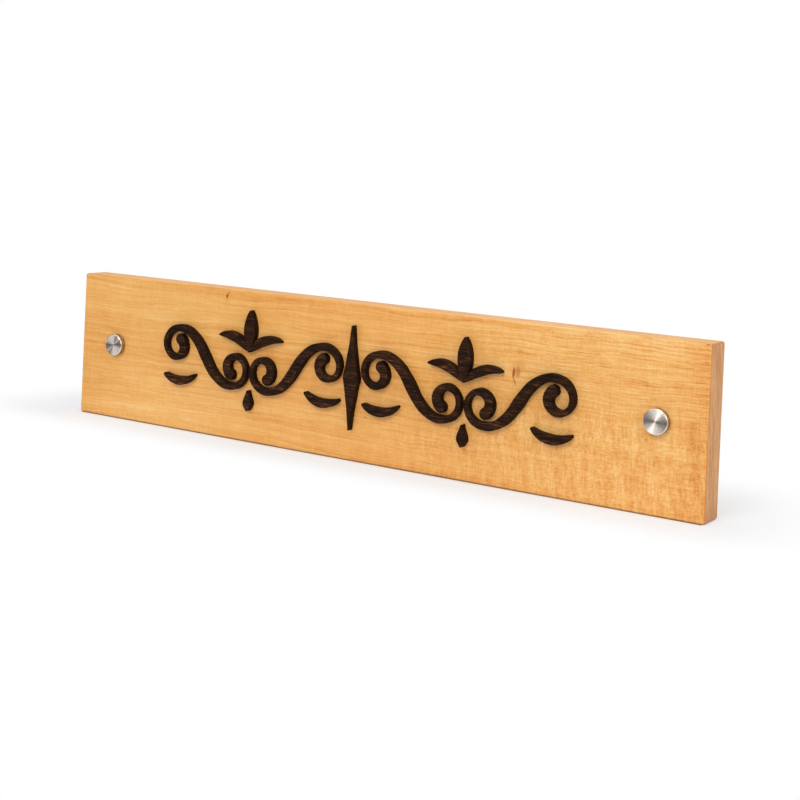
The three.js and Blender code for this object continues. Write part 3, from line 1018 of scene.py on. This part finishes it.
def screw_rings():
    """Head, cone, plain shank, thread and point."""
    head, radius, tip = SCREW["head"], SCREW["radius"], SCREW_FRONT + SCREW["length"]
    head_back = SCREW_FRONT + HEAD_HEIGHT
    start = tip - SCREW["threaded"]
    rings = [(head - HEAD_EASE, SCREW_FRONT), (head, SCREW_FRONT + HEAD_EASE),
             (head, SCREW_FRONT + SCREW["land"]), (radius + SHANK_EASE, head_back - SHANK_EASE),
             (radius, head_back + SHANK_EASE), (radius, start - SCREW["run_out"])]
    for outside, y in thread(SCREW_SIDES, radius, radius - SCREW["core"], start, tip - 0.1, WOOD_THREAD):
        rings.append((np.minimum(outside, max(0.05, (tip - y) / SCREW["point"] * radius)), y))
    return rings + [(0, tip)]


def screw():
    """The turned screw, with a cross-shaped recess in its head that narrows inwards."""
    points, faces = turn(screw_rings(), SCREW_SIDES, False)
    top = cross_outline(RECESS_REACH, RECESS_WIDTH)
    bottom = cross_outline(RECESS_REACH * FLOOR_REACH_SHARE, RECESS_WIDTH * FLOOR_WIDTH_SHARE)
    flat, triangles = fill([points[:SCREW_SIDES][:, [0, 2]]], [top])
    floor, floor_triangles = fill([bottom])
    deep = SCREW_FRONT + RECESS_DEPTH
    parts = [points, stand(flat, SCREW_FRONT), stand(top, SCREW_FRONT)]
    parts += [stand(bottom, deep), stand(floor, deep)]
    starts = np.cumsum([len(part) for part in parts])
    faces += [tuple(face + starts[0]) for face in triangles]
    faces += tube(2, starts[1], len(top))
    faces += [tuple(face + starts[3]) for face in floor_triangles]
    return join_points(parts, faces)


# %% The pieces of both fixings
FIXING = {
    "collar": ("turned", collar(), turned_brass, 40),
    "gasket": ("cut", gasket(), washer_rubber, 60),
    "screw": ("rolled", screw(), zinc_plate, 45),
}
for side, (hole_x, hole_z) in zip(("left", "right"), HOLES):
    for kind, (made, (points, faces), finish, sharp) in FIXING.items():
        node = side + "_" + kind
        placed = points + [hole_x, 0, hole_z]
        piece = make_piece(node + "_" + made, placed, faces, finish, side + "_fixing", node, sharp)
        print(piece.name, len(piece.data.polygons), "faces")

# %% [markdown]
# ## The studio
# The photograph has a white sweep and a large soft light in front of the plate and above it. The floor is
# a plain pale surface, but under the plate and up to about 1.6 mm out from its long edges the sheet is
# painted dark: a painted contact shadow. For rays from the camera, and for mirror-like and clear rays,
# floor and world are lifted towards white: not at all right at the plate, which leaves the thin dark line
# under its long edges, by half near it, so that its soft shadow shows, and wholly from about 12 cm away.
# The part that keeps its shadow lies a little to the left, away from the light on the right.

# %% Floor
FLOOR_REACH = 6
FLOOR_LIFT = 0.5
SHADOW_SHIFT = 0.015
SHADOW_NEAR, SHADOW_FAR = 0.02, 0.12
floor_paint, paper = new_finish("white_floor")


def camera_and_mirror_rays(finish):
    """Two switches: one for rays straight from the camera, one for mirror-like and clear rays."""
    straight, glossy, clear = [finish.add("ShaderNodeLightPath", out=f"Is {kind} Ray")
                               for kind in ("Camera", "Glossy", "Transmission")]
    return straight, glossy + clear


def past(place, edge):
    """How far a place lies past an edge of the plate, and 0 before it."""
    return paper.add("ShaderNodeMath", {"operation": "MAXIMUM"}, {0: place - edge * MM, 1: 0.0})


straight, mirrored = camera_and_mirror_rays(paper)
across, away, _ = paper.split(paper.add("ShaderNodeTexCoord", out="Object"))
past_end = past(abs(across), LENGTH / 2 - CORNER)
past_face = past(abs(away), THICKNESS / 2)
behind = past(away, THICKNESS / 2)
in_front = past_face - behind
past_shadow_end = past(abs(across + SHADOW_SHIFT), LENGTH / 2)
reach = (past_shadow_end * past_shadow_end * 2 + behind * behind + in_front * in_front * 5) ** 0.5
far_off = paper.ease(reach, SHADOW_NEAR, SHADOW_FAR)
past_side = past_face + behind * 3
off_plate = (past_end * past_end * 9 + past_side * past_side) ** 0.5
off_edge = paper.ease(off_plate, 0.0, 0.006)
# Painted contact shadow: under the plate and within about 1.6 mm of its long edges the sheet is painted
# dark.
painted_contact_shadow = (1 - paper.ease(off_plate, 0.0002, 0.0016)) * (1 - paper.ease(past_end, 0, 0.0004))
lift = (straight + mirrored) * off_edge * (FLOOR_LIFT + (1 - FLOOR_LIFT) * far_off)
pale = paper.tint(painted_contact_shadow, (0.93, 0.95, 0.975, 1), (0.3, 0.27, 0.26, 1))
sheet = paper.add("ShaderNodeBsdfDiffuse", {}, {"Color": pale})
white = paper.add("ShaderNodeEmission", {}, {"Color": (1, 1, 1, 1), "Strength": 1.0})
shown = paper.add("ShaderNodeMixShader", {}, {0: lift, 1: sheet, 2: white})
paper.add("ShaderNodeOutputMaterial", {}, {"Surface": shown})


def stage_card(name, corners, finish):
    mesh = bpy.data.meshes.new(name)
    mesh.from_pydata(corners, [], [tuple(range(len(corners)))])
    mesh.materials.append(finish)
    card = bpy.data.objects.new(name, mesh)
    bpy.context.scene.collection.objects.link(card)
    return card


quarters = ((-1, -1), (1, -1), (1, 1), (-1, 1))
stage_card("floor", [(FLOOR_REACH * x, FLOOR_REACH * y, 0) for x, y in quarters], floor_paint)

# %% World
ROOM_LIGHT = 0.4
world = bpy.data.worlds.new("studio")
bpy.context.scene.world = world
room = Finish(world)
seen, bounced = camera_and_mirror_rays(room)
glow = ROOM_LIGHT * (1 - seen) * (1 - bounced) + seen + bounced
sky = room.add("ShaderNodeBackground", {}, {"Color": (1, 1, 1, 1), "Strength": glow})
room.add("ShaderNodeOutputWorld", {}, {"Surface": sky})
print("the floor is", 2 * FLOOR_REACH, "m wide")

# %% [markdown]
# ## Black cards
# Polished steel shows what stands round it. Photographers put black cards beside such metal, just outside
# the picture, to give it dark areas. A cap's face lies in turning rings, which spread what they mirror
# along its own radius: up and down at the top and bottom of the face, sideways at its left and right. So
# cards that widen away from the spot that a cap mirrors into the lens darken the two sides of its face,
# and leave two bright wedges between them. One more card lies on the floor for the left cap's lower side,
# and one stands far to the left. Only mirror-like rays see the cards, so they shade nothing.

# %% Cards
CARD_Y = -0.14
CARD_TOP = 0.1
TALL_TOP = 0.15
JUST_ABOVE_FLOOR = 0.0006
UPRIGHT_CARDS = {
    "card_left_cap_left": [
        (-0.6, 0.002), (-0.341, 0.002), (-0.327, 0.024), (-0.327, 0.031), (-0.558, CARD_TOP),
        (-0.6, CARD_TOP)],
    "card_left_cap_right": [
        (-0.3205, 0.024), (-0.12, 0.024), (-0.12, TALL_TOP), (-0.285, TALL_TOP), (-0.3205, 0.033)],
    "card_right_cap_left": [
        (-0.05, 0.004), (0.1, 0.004), (0.152, 0.027), (0.152, 0.034), (0.122, CARD_TOP), (-0.05, CARD_TOP)],
    "card_right_cap_right": [
        (0.158, 0.026), (0.182, 0.002), (0.4, 0.002), (0.4, CARD_TOP), (0.222, CARD_TOP), (0.158, 0.034)],
}
LYING_CARD = [
    (-0.62, -0.14), (-0.345, -0.14), (-0.294, -0.08), (-0.257, -0.038), (-0.25, -0.012), (-0.62, -0.012)]
black_paint, black = new_finish("black_card")
black.surface(Base_Color=(0.02, 0.02, 0.02, 1), Roughness=0.9)


def black_card(name, corners):
    card = stage_card(name, corners, black_paint)
    card.visible_camera = False
    card.visible_diffuse = False
    card.visible_shadow = False


for name, outline in UPRIGHT_CARDS.items():
    black_card(name, [(across, CARD_Y, up) for across, up in outline])
black_card("card_left_cap_floor", [(across, ahead, JUST_ABOVE_FLOOR) for across, ahead in LYING_CARD])
black_card("card_far_left", [(-1.1, 0.5, 0.1), (-1.1, -0.5, 0.1), (-1.1, -0.5, 0.9), (-1.1, 0.5, 0.9)])
print("black cards:", len(UPRIGHT_CARDS) + 2)

# %% [markdown]
# ## Lamps
# Three square area lamps, all aimed at the middle of the plate: a key in front and above, a weaker fill
# from the right, and one overhead for the top edge. A wide lamp throws a soft-edged shadow.

# %% Lamps: where each is, how wide and how strong
LAMPS = {
    "key": ((0.08, -2.1, 1.5), 1.0, 24.4),
    "fill": ((1.9, -1.0, 1.0), 1.2, 11),
    "overhead": ((0.1, 0.2, 1.9), 1.6, 8.5),
}
middle = Vector((0, 0, HEIGHT / 2 * MM))
for name, (spot, width, power) in LAMPS.items():
    lamp = bpy.data.lights.new(name, "AREA")
    lamp.shape = "SQUARE"
    lamp.size = width
    lamp.energy = power
    holder = bpy.data.objects.new(name, lamp)
    bpy.context.scene.collection.objects.link(holder)
    holder.location = spot
    holder.rotation_euler = (middle - Vector(spot)).to_track_quat("-Z", "Y").to_euler()
print("lamps:", [(lamp.name, lamp.energy) for lamp in bpy.data.lights])
